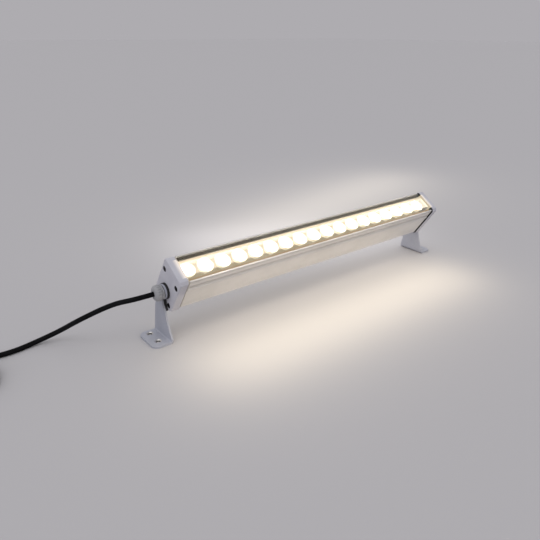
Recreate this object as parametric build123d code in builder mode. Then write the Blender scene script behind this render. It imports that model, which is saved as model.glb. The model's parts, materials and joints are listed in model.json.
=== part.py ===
from build123d import *
import math
import os

os.makedirs("parts", exist_ok=True)

# ---------------------------------------------------------------- overall layout (mm)
# +X runs along the lamp, away from the cable end; +Y away from the lit side; +Z up; Z = 0 is the floor
PIVOT_H = 69.0          # height of the turning axis above the floor
LEAN = 33.4             # window normal leans this far from vertical towards -Y
CAP_OUT = 252.6         # outer face of an end cap, from the middle of the lamp
CAP_T = 11.5            # end cap thickness
GASKET_T = 2.6          # end gasket thickness
GASKET_IN = 1.2         # the gasket lies this far inside the extrusion's outline
RUN = 0.05              # running clearance of the turning joints

# ---------------------------------------------------------------- section of the lamp (u across, v towards the window)
PROF_W = 42.0           # extrusion width
PROF_LO = -21.3         # back of the extrusion, below the turning axis
PROF_HI = 41.1          # lips beside the window, above the turning axis
OVERHANG = 1.5          # the caps stand this far proud of the extrusion
WALL = 1.8              # extrusion wall
LIP_W = 1.9             # thin lips on both sides of the glass
GLASS_T = 3.0
GLASS_SINK = 0.4        # the glass lies this far below the lips
GLASS_PLAY = 0.2        # room between the glass and each lip
SEAL_T = 0.5            # glazing strip under the glass
LEDGE_W = 4.3           # the ledges that carry the glass reach this far in from the lips
LEDGE_T = 1.6           # ledge thickness
CHAMBER_WALL = 3.8      # wall beside the optics channel under the ledges
GROOVE_V = (38.4, 30.0, 27.8)     # lengthwise grooves in the outer walls
GROOVE_W = 1.2
GROOVE_DEEP = 0.75
BEAD_V = 23.0           # half-round bead along the outer walls
BEAD_R = 2.2
BEAD_OUT = 1.0          # the bead stands this far out
BASE_CHAMFER = 5.0      # bevel of the two lower corners
SHELF_V = 19.3          # top of the board shelf
SHELF_T = 1.8
PORT_IN, PORT_V = 5.0, 26.0       # upper screw ports, in from the outer walls
PORT_LOW_IN, PORT_LV = 6.6, -14.4             # lower screw ports
PORT_R = 3.5            # port wall radius
PORT_BORE = 1.7         # port bore radius
RAIL_W, RAIL_T = 16.0, 2.7        # thickened floor that carries the driver

# ---------------------------------------------------------------- light engine
N_LED = 18
LED_IN_NEAR = 7.475     # first LED from the cable end of the extrusion
LED_IN_FAR = 16.475     # last LED from the other end, which leaves room for the terminals
LENS_R = 11.0
LENS_H = 12.0
LENS_FOOT_R = 5.2
LENS_V = 37.2           # front of the lenses
BOARD_T = 1.6
BOARD_PLAY = 0.1        # room between the board and each wall
BOARD_IN = 2.1          # the board ends this far inside the extrusion

# ---------------------------------------------------------------- brackets
PAD_T = 3.0             # rubber pad between cap and bracket
PLATE_T = 2.5           # bracket sheet
HEAD_R = 10.0           # round head of the bracket
PAD_HEAD_R = 10.8
FOOT_LO, FOOT_HI = -17.0, 30.3    # foot along Y
FOOT_REACH = 24.9       # foot length outwards from the outer face of the plate
BEND_R = 2.0            # inner bend radius
FOOT_CORNER = 9.0
HOLE_R = 2.75
HOLE_SINK = 4.6
HOLE_Y = (21.4, -2.6)
HOLE_OUT = 12.4         # hole centres outwards from the outer face of the plate

# ---------------------------------------------------------------- cable gland and pivot screw
THREAD_R = 8.0
GLAND_AF = 19.0
GLAND_FLANGE = 2.5
GLAND_WASHER_T = 0.8
GLAND_WASHER_R = 9.6
NUT_R = 10.5            # domed clamping nut
NUT_L = 8.4
NUT_RIBS = 18
CORD_D = 6.5
BOLT_R = 4.0
BOLT_HEAD_R = 7.5
BOLT_HEAD_H = 5.0

PAD_IN = CAP_OUT + RUN
PLATE_IN = PAD_IN + PAD_T
PLATE_OUT = PLATE_IN + PLATE_T
CAP_IN = CAP_OUT - CAP_T
PROF_END = CAP_IN - GASKET_T
GLASS_V = PROF_HI - GLASS_SINK - GLASS_T    # underside of the glass
LEDGE_V = GLASS_V - SEAL_T                  # top of the ledges
HALF = PROF_W / 2
RECESS_W = PROF_W - 2 * LIP_W
WINDOW = RECESS_W - 2 * LEDGE_W
CHAMBER_W = PROF_W - 2 * CHAMBER_WALL
BOARD_W = CHAMBER_W - 2 * BOARD_PLAY
PORT_U, PORT_LU = HALF - PORT_IN, HALF - PORT_LOW_IN
GLASS_W = RECESS_W - 2 * GLASS_PLAY
PITCH = (2 * PROF_END - LED_IN_NEAR - LED_IN_FAR) / (N_LED - 1)
BOARD_L = 2 * (PROF_END - BOARD_IN)
CAP_W = PROF_W + 2 * OVERHANG
CAP_LO, CAP_HI = PROF_LO - OVERHANG, PROF_HI + OVERHANG
SINL, COSL = math.sin(math.radians(LEAN)), math.cos(math.radians(LEAN))


def section(x):
    """Plane of the lamp's cross-section at station x: local x = u (towards the back), local y = v (window normal)."""
    return Plane(origin=(x, 0, PIVOT_H), x_dir=(0, COSL, SINL), z_dir=(1, 0, 0))


def window_plane(v):
    """Plane parallel to the window, v above the turning axis: local x = along the lamp, local y = towards the back."""
    return Plane(origin=(0, -SINL * v, PIVOT_H + COSL * v), x_dir=(1, 0, 0), z_dir=(0, -SINL, COSL))


PIECES = []


def finish(part, label):
    """Name a finished piece and keep it for export."""
    PIECES.append((label, part))


def export_all(loose):
    """Write each piece about the middle of the lamp's footprint; pieces named in loose don't count for it."""
    boxes = [p.part.bounding_box() for label, p in PIECES if label not in loose]
    shift = -(min(b.min.Y for b in boxes) + max(b.max.Y for b in boxes)) / 2
    for label, piece in PIECES:
        solid = piece.part.moved(Location((0, shift, 0)))
        solid.label = label
        export_step(solid, f"parts/{label}.step")
        box = solid.bounding_box()
        print(f"{label:18s} solids {len(solid.solids()):3d} volume {solid.volume:10.2f}",
              "x %.2f..%.2f y %.2f..%.2f z %.2f..%.2f" % (
                  box.min.X, box.max.X, box.min.Y, box.max.Y, box.min.Z, box.max.Z))
        if min(s.volume for s in solid.solids()) <= 0 or not solid.is_valid:
            print("   not valid:", label)
    print("turning axis at y %.4f z %.4f" % (shift, PIVOT_H))


PORTS = [(PORT_U, PORT_V), (-PORT_U, PORT_V), (PORT_LU, PORT_LV), (-PORT_LU, PORT_LV)]
LED_X = [LED_IN_NEAR - PROF_END + i * PITCH for i in range(N_LED)]

# ================================================================ 1 extruded housing
INNER = HALF - WALL
with BuildPart() as housing:
    with BuildSketch(section(-PROF_END)):
        with Locations((0, (PROF_LO + PROF_HI) / 2)):
            Rectangle(PROF_W, PROF_HI - PROF_LO)
        # bevelled lower corners
        for s in (1, -1):
            with BuildLine():
                Polyline((s * HALF, PROF_LO), (s * HALF, PROF_LO + BASE_CHAMFER),
                         (s * (HALF - BASE_CHAMFER), PROF_LO), close=True)
            make_face(mode=Mode.SUBTRACT)
        # recess for the glass between the lips, window between the ledges, optics channel below them
        with Locations((0, PROF_HI)):
            Rectangle(RECESS_W, 2 * (PROF_HI - LEDGE_V), mode=Mode.SUBTRACT)
        with Locations((0, (SHELF_V + LEDGE_V) / 2)):
            Rectangle(WINDOW, LEDGE_V - SHELF_V + 0.02, mode=Mode.SUBTRACT)
        with Locations((0, (SHELF_V + LEDGE_V - LEDGE_T) / 2)):
            Rectangle(CHAMBER_W, LEDGE_V - LEDGE_T - SHELF_V, mode=Mode.SUBTRACT)
        # driver chamber, with bevelled lower corners like the outside
        lo = PROF_LO + WALL
        hi = SHELF_V - SHELF_T
        c = BASE_CHAMFER - 0.75
        with BuildLine():
            Polyline((-INNER, hi), (-INNER, lo + c), (-INNER + c, lo), (INNER - c, lo), (INNER, lo + c),
                     (INNER, hi), close=True)
        make_face(mode=Mode.SUBTRACT)
        # thickened floor
        with Locations((0, lo + RAIL_T / 2 - 0.2)):
            Rectangle(RAIL_W, RAIL_T + 0.4)
        # screw ports joined to the walls
        for (pu, pv) in PORTS:
            s = 1 if pu > 0 else -1
            with Locations((pu, pv)):
                Circle(PORT_R)
            with Locations(((pu + s * (HALF - 0.6)) / 2, pv)):
                Rectangle(HALF - 0.6 - abs(pu), 3.4)
            if pv < 0:
                with Locations((pu, (pv + PROF_LO + 0.6) / 2)):
                    Rectangle(3.0, pv - PROF_LO - 0.6)
        for (pu, pv) in PORTS:
            with Locations((pu, pv)):
                Circle(PORT_BORE, mode=Mode.SUBTRACT)
        # lengthwise grooves beside the window and a bead under them, on both outer walls
        for s in (1, -1):
            with Locations(*[(s * HALF, v) for v in GROOVE_V]):
                Rectangle(2 * GROOVE_DEEP, GROOVE_W, mode=Mode.SUBTRACT)
            with Locations((s * (HALF + BEAD_OUT - BEAD_R), BEAD_V)):
                Circle(BEAD_R)
        with Locations((0, PROF_LO)):
            for k in (-3, -1, 1, 3):
                with Locations((k * 2.6, 0)):
                    Rectangle(1.2, 1.0, mode=Mode.SUBTRACT)
    extrude(amount=2 * PROF_END)
    # lead hole through the board shelf near the far end
    with BuildSketch(window_plane(SHELF_V + 1)):
        with Locations((PROF_END - 5.4, 0)):
            Circle(2.6)
    extrude(amount=-(SHELF_T + 2), mode=Mode.SUBTRACT)
    # blind pilots: board screws in the shelf, driver screws in the thick floor
BOARD_SCREW_I = [round(k * (N_LED - 2) / 4) for k in range(5)]       # each midway between two LEDs
BOARD_SCREW_X = [(LED_X[i] + LED_X[i + 1]) / 2 for i in BOARD_SCREW_I]
BOARD_SCREW_U = 11.0
DRIVER_X0, DRIVER_X1 = -150.0, 10.0
TAB_L = 9.0
DRIVER_SCREW_X = (DRIVER_X0 - TAB_L / 2, DRIVER_X1 + TAB_L / 2)
RAIL_TOP = PROF_LO + WALL + RAIL_T
with housing:
    with BuildSketch(window_plane(SHELF_V + 0.5)):
        with Locations(*[(x, s * BOARD_SCREW_U) for i, x in enumerate(BOARD_SCREW_X) for s in ((1, -1)[i % 2],)]):
            Circle(1.25)
    extrude(amount=-(SHELF_T + 1.0), mode=Mode.SUBTRACT)
    with BuildSketch(window_plane(RAIL_TOP + 0.5)):
        with Locations(*[(x, 0) for x in DRIVER_SCREW_X]):
            Circle(1.25)
    extrude(amount=-3.7, mode=Mode.SUBTRACT)
finish(housing, "housing")

# ================================================================ 2 window glass and its strips
with BuildPart() as glass:
    with BuildSketch(section(-PROF_END)):
        with Locations((0, GLASS_V + GLASS_T / 2)):
            Rectangle(GLASS_W, GLASS_T)
    extrude(amount=2 * PROF_END)
    chamfer(glass.edges().filter_by(Axis.X), length=0.3)
finish(glass, "window_glass")

with BuildPart() as seals:
    with BuildSketch(section(-PROF_END)):
        for s in (1, -1):
            with Locations((s * (RECESS_W + WINDOW) / 4, GLASS_V - SEAL_T / 2)):
                Rectangle((RECESS_W - WINDOW) / 2, SEAL_T)
    extrude(amount=2 * PROF_END)
finish(seals, "glazing_strips")

# ================================================================ 3 light engine
BOARD_TOP = SHELF_V + BOARD_T
with BuildPart() as board:
    with BuildSketch(window_plane(SHELF_V)):
        Rectangle(BOARD_L, BOARD_W)
        with Locations(*[(x, s * BOARD_SCREW_U) for i, x in enumerate(BOARD_SCREW_X) for s in ((1, -1)[i % 2],)]):
            Circle(1.65, mode=Mode.SUBTRACT)
        with Locations((PROF_END - 5.4, 0)):
            Circle(2.6, mode=Mode.SUBTRACT)
    extrude(amount=BOARD_T)
finish(board, "led_board")

CHIP, CHIP_H = 3.4, 0.8
with BuildPart() as chips:
    with BuildSketch(window_plane(BOARD_TOP)):
        with Locations(*[(x, 0) for x in LED_X]):
            Rectangle(CHIP, CHIP)
    extrude(amount=CHIP_H)
    with BuildSketch(window_plane(BOARD_TOP + CHIP_H)):
        with Locations(*[(x, 0) for x in LED_X]):
            Circle(1.3)
    extrude(amount=0.7, taper=28)
finish(chips, "led_chips")

LENS_BASE = LENS_V - LENS_H          # underside of the moulded optic


def optic_plane(x):
    """Plane through an optic's axis: local x = along the lamp, local y = v."""
    return Plane(origin=(x, 0, PIVOT_H), x_dir=(1, 0, 0), z_dir=(0, -COSL, -SINL))


with BuildPart() as lenses:
    for x in LED_X:
        with BuildSketch(optic_plane(x)):
            with BuildLine():
                Polyline((0, LENS_BASE + 3.6), (2.4, LENS_BASE + 3.0), (2.8, LENS_BASE), (LENS_FOOT_R, LENS_BASE),
                         (8.6, LENS_BASE + 5.0), (LENS_R - 0.6, LENS_V - 1.5), (LENS_R, LENS_V - 1.5),
                         (LENS_R, LENS_V - 0.3), (LENS_R - 0.3, LENS_V), (0, LENS_V), close=True)
            make_face()
        revolve(axis=Axis(origin=(x, -SINL * LENS_V, PIVOT_H + COSL * LENS_V), direction=(0, -SINL, COSL)))
finish(lenses, "optics")

HOLDER_R = 9.4
with BuildPart() as holders:
    for x in LED_X:
        with BuildSketch(optic_plane(x)):
            with BuildLine():
                Polyline((3.2, BOARD_TOP), (6.6, BOARD_TOP), (HOLDER_R, LENS_BASE + 3.4), (HOLDER_R - 1.0, LENS_BASE + 3.4),
                         (5.5, LENS_BASE), (3.2, LENS_BASE), close=True)
            make_face()
        revolve(axis=Axis(origin=(x, -SINL * LENS_V, PIVOT_H + COSL * LENS_V), direction=(0, -SINL, COSL)))
finish(holders, "optic_holders")


def at(x, u, v):
    """Point of the lamp's section at station x."""
    return (x, COSL * u - SINL * v, PIVOT_H + SINL * u + COSL * v)


def facing(s, x, u=0.0, v=0.0):
    """Plane at that point whose normal points along s * X."""
    return Plane(origin=at(x, u, v), x_dir=(0, COSL, SINL), z_dir=(s, 0, 0))


def rod(s, x, r, length, u=0.0, v=0.0, mode=Mode.ADD):
    """Cylinder along s * X from station x, in the current part."""
    with Locations(facing(s, x, u, v).location):
        Cylinder(r, length, align=(Align.CENTER, Align.CENTER, Align.MIN), mode=mode)


def cone(s, x, r0, r1, length, u=0.0, v=0.0, mode=Mode.ADD):
    with Locations(facing(s, x, u, v).location):
        Cone(r0, r1, length, align=(Align.CENTER, Align.CENTER, Align.MIN), mode=mode)


# board screws
BOARD_SCREW = [(x, (1, -1)[i % 2] * BOARD_SCREW_U) for i, x in enumerate(BOARD_SCREW_X)]
with BuildPart() as board_screws:
    with BuildSketch(window_plane(BOARD_TOP)):
        with Locations(*BOARD_SCREW):
            Circle(2.6)
    extrude(amount=1.7)
    with BuildSketch(window_plane(BOARD_TOP + 1.7)):
        with Locations(*BOARD_SCREW):
            Rectangle(3.0, 0.6)
            Rectangle(0.6, 3.0)
    extrude(amount=-0.8, mode=Mode.SUBTRACT)
    with BuildSketch(window_plane(BOARD_TOP)):
        with Locations(*BOARD_SCREW):
            Circle(1.2)
    extrude(amount=-(BOARD_T + SHELF_T))
finish(board_screws, "board_screws")

# terminal block over the lead hole
LEAD_X = PROF_END - 5.4
BLOCK_H = 3.6
with BuildPart() as terminal:
    with BuildSketch(window_plane(BOARD_TOP)):
        with Locations((LEAD_X, 0)):
            Rectangle(5.0, 9.0)
    extrude(amount=BLOCK_H)
    with BuildSketch(window_plane(BOARD_TOP + BLOCK_H)):
        with Locations((LEAD_X, 2.2), (LEAD_X, -2.2)):
            Circle(1.2)
    extrude(amount=-1.0, mode=Mode.SUBTRACT)
finish(terminal, "terminal_block")

# ================================================================ 4 driver and leads
DRIVER_PLAY = 0.4                   # room between the driver and each lower screw port
DRIVER_W, DRIVER_H = 2 * (PORT_LU - PORT_R - DRIVER_PLAY), 26.0
TAB_T = 2.0
with BuildPart() as driver:
    with BuildSketch(section(DRIVER_X0)):
        with Locations((0, RAIL_TOP + DRIVER_H / 2)):
            RectangleRounded(DRIVER_W, DRIVER_H, 2.0)
    extrude(amount=DRIVER_X1 - DRIVER_X0)
    for x0 in (DRIVER_X0 - TAB_L, DRIVER_X1):
        with BuildSketch(section(x0)):
            with Locations((0, RAIL_TOP + TAB_T / 2)):
                Rectangle(RAIL_W - 2, TAB_T)
        extrude(amount=TAB_L)
    with BuildSketch(window_plane(RAIL_TOP + TAB_T + 0.5)):
        with Locations(*[(x, 0) for x in DRIVER_SCREW_X]):
            Circle(1.6)
    extrude(amount=-(TAB_T + 1.0), mode=Mode.SUBTRACT)
finish(driver, "driver")

with BuildPart() as driver_screws:
    with BuildSketch(window_plane(RAIL_TOP + TAB_T)):
        with Locations(*[(x, 0) for x in DRIVER_SCREW_X]):
            Circle(2.8)
    extrude(amount=2.0)
    with BuildSketch(window_plane(RAIL_TOP + TAB_T)):
        with Locations(*[(x, 0) for x in DRIVER_SCREW_X]):
            Circle(1.2)
    extrude(amount=-(TAB_T + 2.8))
    with BuildSketch(window_plane(RAIL_TOP + TAB_T + 2.0)):
        with Locations(*[(x, 0) for x in DRIVER_SCREW_X]):
            Rectangle(3.2, 0.7)
            Rectangle(0.7, 3.2)
    extrude(amount=-0.9, mode=Mode.SUBTRACT)
finish(driver_screws, "driver_screws")

WIRE_R = 0.8
SEAT = PLATE_OUT + RUN
CORD_START = SEAT - 0.2
CORD_IN = CORD_START - 0.3         # where the leads leave the sheath, inside the gland
SUPPLY_X = 11.1 - PROF_END         # the supply leads bend from here
SUPPLY_RUN = DRIVER_X0 - SUPPLY_X


def wire(points, radius, bend):
    """Round lead through points of (x, u, v)."""
    pts = [Vector(*at(*p)) for p in points]
    with BuildLine() as path:
        FilletPolyline(*pts, radius=bend)
    with BuildSketch(Plane(origin=pts[0], z_dir=(pts[1] - pts[0]).normalized())) as round_section:
        Circle(radius)
    sweep(round_section.sketch, path=path.line)


with BuildPart() as supply_leads:
    for k in (-1, 0, 1):
        v1 = 4.0 + (1.0 if k == 0 else 0.0)
        wire([(-CORD_IN, 1.0 * k, 0.9 if k == 0 else -0.8), (SUPPLY_X, 1.0 * k, 0.9 if k == 0 else -0.8),
              (SUPPLY_X + 0.41 * SUPPLY_RUN, 3.2 * k, v1 + 3), (SUPPLY_X + 0.74 * SUPPLY_RUN, 3.2 * k, v1),
              (DRIVER_X0, 3.2 * k, v1)], WIRE_R, 8.0)
finish(supply_leads, "supply_leads")

with BuildPart() as led_leads:
    for k in (-1, 1):
        wire([(DRIVER_X1, 3.0 * k, 0.0), (DRIVER_X1 + 20.0, 3.0 * k, 0.0), (DRIVER_X1 + 50.0, 1.3 * k, -2.0),
              (DRIVER_X1 + 120.0, 1.3 * k, 1.0), (LEAD_X, 1.3 * k, 1.0), (LEAD_X, 1.3 * k, BOARD_TOP)], WIRE_R, 5.0)
finish(led_leads, "led_leads")

# ================================================================ 5 end caps, gaskets and their screws
CAP_WALL = 4.5
CAP_TOP_CORNER = 3.6
OPEN_HI = LENS_V + 0.4
OPEN_LO = -17.0
OPEN_W = 2 * (PORT_U - PORT_R - 0.8)        # between the ports
OPEN_MID_W = PROF_W - 11.0
CAP_SCREW_R = 1.65
CAP_SCREW_HEAD = 3.8
SCREW_HOLE = 2.2
HEAD_SINK = 0.25


def outline(half, lo, hi, top, low):
    """Section outline with bevelled corners."""
    with BuildLine() as edge:
        Polyline((-half, lo + low), (-half + low, lo), (half - low, lo), (half, lo + low), (half, hi - top),
                 (half - top, hi), (-half + top, hi), (-half, hi - top), close=True)
    make_face(edge.line.edges())


def opening():
    """Hollow shared by the gaskets and the inside of the caps."""
    with Locations((0, (OPEN_HI + OPEN_LO) / 2)):
        Rectangle(OPEN_W, OPEN_HI - OPEN_LO)
    with Locations((0, 5.5)):
        Rectangle(OPEN_MID_W, 29.0)


def cap(s, bore):
    with BuildPart() as p:
        with BuildSketch(facing(1, s * CAP_IN)) as sk:
            outline(CAP_W / 2, CAP_LO, CAP_HI, CAP_TOP_CORNER, BASE_CHAMFER + 0.6)
            fillet(sk.vertices(), 1.6)
        extrude(amount=s * CAP_T)
        outer = p.faces().sort_by(Axis.X)[-1 if s > 0 else 0]
        chamfer(outer.outer_wire().edges(), length=1.1)
        with BuildSketch(facing(1, s * CAP_IN)):
            opening()
        extrude(amount=s * (CAP_T - CAP_WALL), mode=Mode.SUBTRACT)
        rod(s, s * (CAP_OUT - CAP_WALL - 1), bore, CAP_WALL + 2, mode=Mode.SUBTRACT)
        for (pu, pv) in PORTS:
            rod(s, s * (CAP_IN - 1), SCREW_HOLE, CAP_T + 2, pu, pv, mode=Mode.SUBTRACT)
            cone(-s, s * (CAP_OUT + 0.01), CAP_SCREW_HEAD + 0.25, SCREW_HOLE, 2.6, pu, pv, mode=Mode.SUBTRACT)
    return p


cap_left = cap(-1, THREAD_R + 0.05)
finish(cap_left, "cap_left")
cap_right = cap(1, BOLT_R + 0.05)
finish(cap_right, "cap_right")


def end_gasket(s):
    with BuildPart() as p:
        with BuildSketch(facing(1, s * PROF_END)):
            outline(PROF_W / 2 - GASKET_IN, PROF_LO + GASKET_IN, PROF_HI - GASKET_IN, 1.0, BASE_CHAMFER)
            with Locations((0, (OPEN_HI + OPEN_LO) / 2)):
                Rectangle(OPEN_W, OPEN_HI - OPEN_LO, mode=Mode.SUBTRACT)
            with Locations((0, 5.5)):
                Rectangle(OPEN_MID_W, 29.0, mode=Mode.SUBTRACT)
            for (pu, pv) in PORTS:
                with Locations((pu, pv)):
                    Circle(SCREW_HOLE, mode=Mode.SUBTRACT)
        extrude(amount=s * GASKET_T)
    return p


gasket_left = end_gasket(-1)
finish(gasket_left, "gasket_left")
gasket_right = end_gasket(1)
finish(gasket_right, "gasket_right")


def cap_screws(s):
    top = s * (CAP_OUT - HEAD_SINK)
    with BuildPart() as p:
        for (pu, pv) in PORTS:
            cone(-s, top, CAP_SCREW_HEAD, CAP_SCREW_R, 2.3, pu, pv)
            rod(-s, top - s * 2.0, CAP_SCREW_R, CAP_T + GASKET_T + 8.0, pu, pv)
            with BuildSketch(facing(s, top, pu, pv)):
                Rectangle(4.4, 0.95)
                Rectangle(0.95, 4.4)
            extrude(amount=-1.5, mode=Mode.SUBTRACT)
    return p


cap_screws_left = cap_screws(-1)
finish(cap_screws_left, "cap_screws_left")
cap_screws_right = cap_screws(1)
finish(cap_screws_right, "cap_screws_right")

# ================================================================ 6 brackets and pads
LEG_BACK = (22.5, 44.0)     # back edge of the leg where it meets the head's tangent
LEG_FRONT = (-3.4, 41.0)     # front edge: curved up to here, then slanting back to the waist under the head
WAIST = [(2.2, 50.0), (3.6, 57.0)]
TOP = PIVOT_H + HEAD_R + 2


def tangent_point(p, r):
    """Point where the line from p touches the head, on the back side."""
    dy, dz = p[0], p[1] - PIVOT_H
    d = math.hypot(dy, dz)
    a = math.atan2(dz, dy) + math.acos(r / d)
    return (r * math.cos(a), PIVOT_H + r * math.sin(a))


def bracket(s, bore):
    with BuildPart() as p:
        with BuildSketch(Plane.XZ.offset(-FOOT_HI)) as sk:
            with BuildLine():
                Polyline((s * PLATE_IN, 0), (s * (PLATE_OUT + FOOT_REACH), 0), (s * (PLATE_OUT + FOOT_REACH), PLATE_T),
                         (s * PLATE_OUT, PLATE_T), (s * PLATE_OUT, TOP), (s * PLATE_IN, TOP), close=True)
            make_face()
            fillet([v for v in sk.vertices() if abs(v.X * s - PLATE_IN) < 1e-6 and v.Y < 1], BEND_R + PLATE_T)
            fillet([v for v in sk.vertices() if abs(v.X * s - PLATE_OUT) < 1e-6 and v.Y < PLATE_T + 1], BEND_R)
        extrude(amount=FOOT_HI - FOOT_LO)
        with BuildPart(mode=Mode.INTERSECT):
            with BuildSketch(Plane.YZ.offset(s * (PLATE_IN - 1))):
                with BuildLine():
                    l0 = Polyline(LEG_FRONT, *WAIST, (1.5, PIVOT_H - HEAD_R + 3), tangent_point(LEG_BACK, HEAD_R),
                                  LEG_BACK, (FOOT_HI, 6.0), (FOOT_HI, 1.0), (FOOT_LO, 1.0), (FOOT_LO, 6.0))
                    ThreePointArc(l0 @ 1, (-8.0, 25.0), LEG_FRONT)
                make_face()
                with Locations((0, PIVOT_H)):
                    Circle(HEAD_R)
            extrude(amount=s * (PLATE_T + 2))
            with BuildSketch(Plane.XY.offset(-1)) as plan:
                with BuildLine():
                    Polyline((s * (PLATE_IN - 1), FOOT_LO), (s * (PLATE_OUT + FOOT_REACH), FOOT_LO),
                             (s * (PLATE_OUT + FOOT_REACH), FOOT_HI), (s * (PLATE_IN - 1), FOOT_HI), close=True)
                make_face()
                fillet([v for v in plan.vertices() if abs(v.X) > PLATE_OUT + FOOT_REACH - 1e-6], FOOT_CORNER)
            extrude(amount=PLATE_T + BEND_R + 1)
        rod(s, s * (PLATE_IN - 1), bore, PLATE_T + 2, mode=Mode.SUBTRACT)
        for y in HOLE_Y:
            with Locations((s * (PLATE_OUT + HOLE_OUT), y, 0)):
                Cylinder(HOLE_R, 3 * PLATE_T, mode=Mode.SUBTRACT)
            with Locations((s * (PLATE_OUT + HOLE_OUT), y, PLATE_T + 0.01)):
                Cone(HOLE_R, HOLE_SINK, 1.5, align=(Align.CENTER, Align.CENTER, Align.MAX), mode=Mode.SUBTRACT)
    return p


bracket_left = bracket(-1, THREAD_R + 0.08)
finish(bracket_left, "bracket_left")
bracket_right = bracket(1, BOLT_R + 0.08)
finish(bracket_right, "bracket_right")


def pad(s, bore):
    with BuildPart() as p:
        with BuildSketch(Plane.YZ.offset(s * PAD_IN)):
            with BuildLine():
                Polyline((1.0, PIVOT_H - 9), (-0.4, 50.0), (-2.6, 41.6), (-1.0, 41.0), (14.0, 52.6), (11.0, PIVOT_H - 2),
                         close=True)
            make_face()
            with Locations((0, PIVOT_H)):
                Circle(PAD_HEAD_R)
        extrude(amount=s * PAD_T)
        rod(s, s * (PAD_IN - 1), bore, PAD_T + 2, mode=Mode.SUBTRACT)
    return p


pad_left = pad(-1, THREAD_R + 0.08)
finish(pad_left, "pivot_pad_left")
pad_right = pad(1, BOLT_R + 0.08)
finish(pad_right, "pivot_pad_right")

# ================================================================ 7 cable gland, on the left pivot
FLANGE_X = SEAT + GLAND_WASHER_T
BARREL_X = FLANGE_X + GLAND_FLANGE
NUT_X = BARREL_X + 0.3
NUT_END = NUT_X + NUT_L
GLAND_BORE = 4.0
LOCKNUT_T = 4.5
LOCKNUT_AF = 21.0
STUB_END = CAP_OUT - CAP_WALL - LOCKNUT_T - 1.0
CORD_R = CORD_D / 2
SEAL_R = 6.2
SEAL_L = 4.2
BARREL_L = 5.6
BARREL_R = 8.6

with BuildPart() as gland_body:
    with BuildSketch(facing(-1, -FLANGE_X)):
        RegularPolygon(GLAND_AF / 2, 6, major_radius=False)
    extrude(amount=GLAND_FLANGE)
    with Locations(facing(-1, -FLANGE_X).location):
        Cylinder(GLAND_AF / 2 + 0.9, GLAND_FLANGE, align=(Align.CENTER, Align.CENTER, Align.MIN), mode=Mode.INTERSECT)
    rod(-1, -(STUB_END), THREAD_R, FLANGE_X - STUB_END)
    rod(-1, -BARREL_X, BARREL_R, BARREL_L)
    rod(-1, -(STUB_END - 1), GLAND_BORE, BARREL_X + BARREL_L - STUB_END + 2, mode=Mode.SUBTRACT)
    rod(-1, -(BARREL_X + BARREL_L - SEAL_L), SEAL_R, SEAL_L + 1, mode=Mode.SUBTRACT)
finish(gland_body, "gland_body")

with BuildPart() as gland_washer:
    rod(-1, -SEAT, GLAND_WASHER_R, GLAND_WASHER_T)
    rod(-1, -(SEAT - 1), THREAD_R, GLAND_WASHER_T + 2, mode=Mode.SUBTRACT)
finish(gland_washer, "gland_washer")

with BuildPart() as gland_seal:
    rod(-1, -(BARREL_X + BARREL_L - SEAL_L), SEAL_R, SEAL_L + 0.8)
    rod(-1, -(BARREL_X + BARREL_L - SEAL_L - 1), CORD_R + 0.06, SEAL_L + 4, mode=Mode.SUBTRACT)
finish(gland_seal, "gland_seal")

with BuildPart() as gland_nut:
    with BuildSketch(Plane(origin=(0, 0, PIVOT_H), x_dir=(-1, 0, 0), z_dir=(0, 1, 0))):
        with BuildLine():
            Polyline((NUT_X, BARREL_R), (NUT_X, NUT_R - 0.5), (NUT_X + 0.5, NUT_R), (NUT_END - 3.8, NUT_R))
            ThreePointArc((NUT_END - 3.8, NUT_R), (NUT_END - 1.4, NUT_R - 1.6), (NUT_END, 6.0))
            Polyline((NUT_END, 6.0), (NUT_END, CORD_R + 0.3), (BARREL_X + BARREL_L + 0.8, CORD_R + 0.3),
                     (BARREL_X + BARREL_L + 0.8, BARREL_R), (NUT_X, BARREL_R))
        make_face()
    revolve(axis=Axis(origin=(0, 0, PIVOT_H), direction=(1, 0, 0)))
    with BuildSketch(facing(-1, -(NUT_X + 0.6))):
        with PolarLocations(NUT_R + 0.25, NUT_RIBS):
            Circle(0.85)
    extrude(amount=NUT_L - 3.2, mode=Mode.SUBTRACT)
finish(gland_nut, "gland_nut")

with BuildPart() as locknut:
    with BuildSketch(facing(1, -(CAP_OUT - CAP_WALL))):
        RegularPolygon(LOCKNUT_AF / 2, 6, major_radius=False)
        Circle(THREAD_R, mode=Mode.SUBTRACT)
    extrude(amount=LOCKNUT_T)
finish(locknut, "gland_locknut")

# ================================================================ 8 pivot screw, on the right
WASHER_T = 1.6
HEAD_X = SEAT + WASHER_T
NUT_T = 6.0
with BuildPart() as pivot_screw:
    rod(1, HEAD_X, BOLT_HEAD_R, BOLT_HEAD_H)
    fillet(pivot_screw.edges().filter_by(GeomType.CIRCLE).sort_by(Axis.X)[-1], 1.8)
    rod(-1, HEAD_X, BOLT_R, HEAD_X - (CAP_OUT - CAP_WALL - NUT_T - 1.5))
    with BuildSketch(facing(1, HEAD_X + BOLT_HEAD_H)):
        RegularPolygon(2.5, 6, major_radius=False)
    extrude(amount=-3.0, mode=Mode.SUBTRACT)
finish(pivot_screw, "pivot_screw")

with BuildPart() as pivot_washer:
    rod(1, SEAT, 10.0, WASHER_T)
    rod(1, SEAT - 1, BOLT_R, WASHER_T + 2, mode=Mode.SUBTRACT)
finish(pivot_washer, "pivot_washer")

with BuildPart() as pivot_nut:
    with BuildSketch(facing(-1, CAP_OUT - CAP_WALL)):
        RegularPolygon(6.5, 6, major_radius=False)
        Circle(BOLT_R, mode=Mode.SUBTRACT)
    extrude(amount=NUT_T)
finish(pivot_nut, "pivot_nut")

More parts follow.
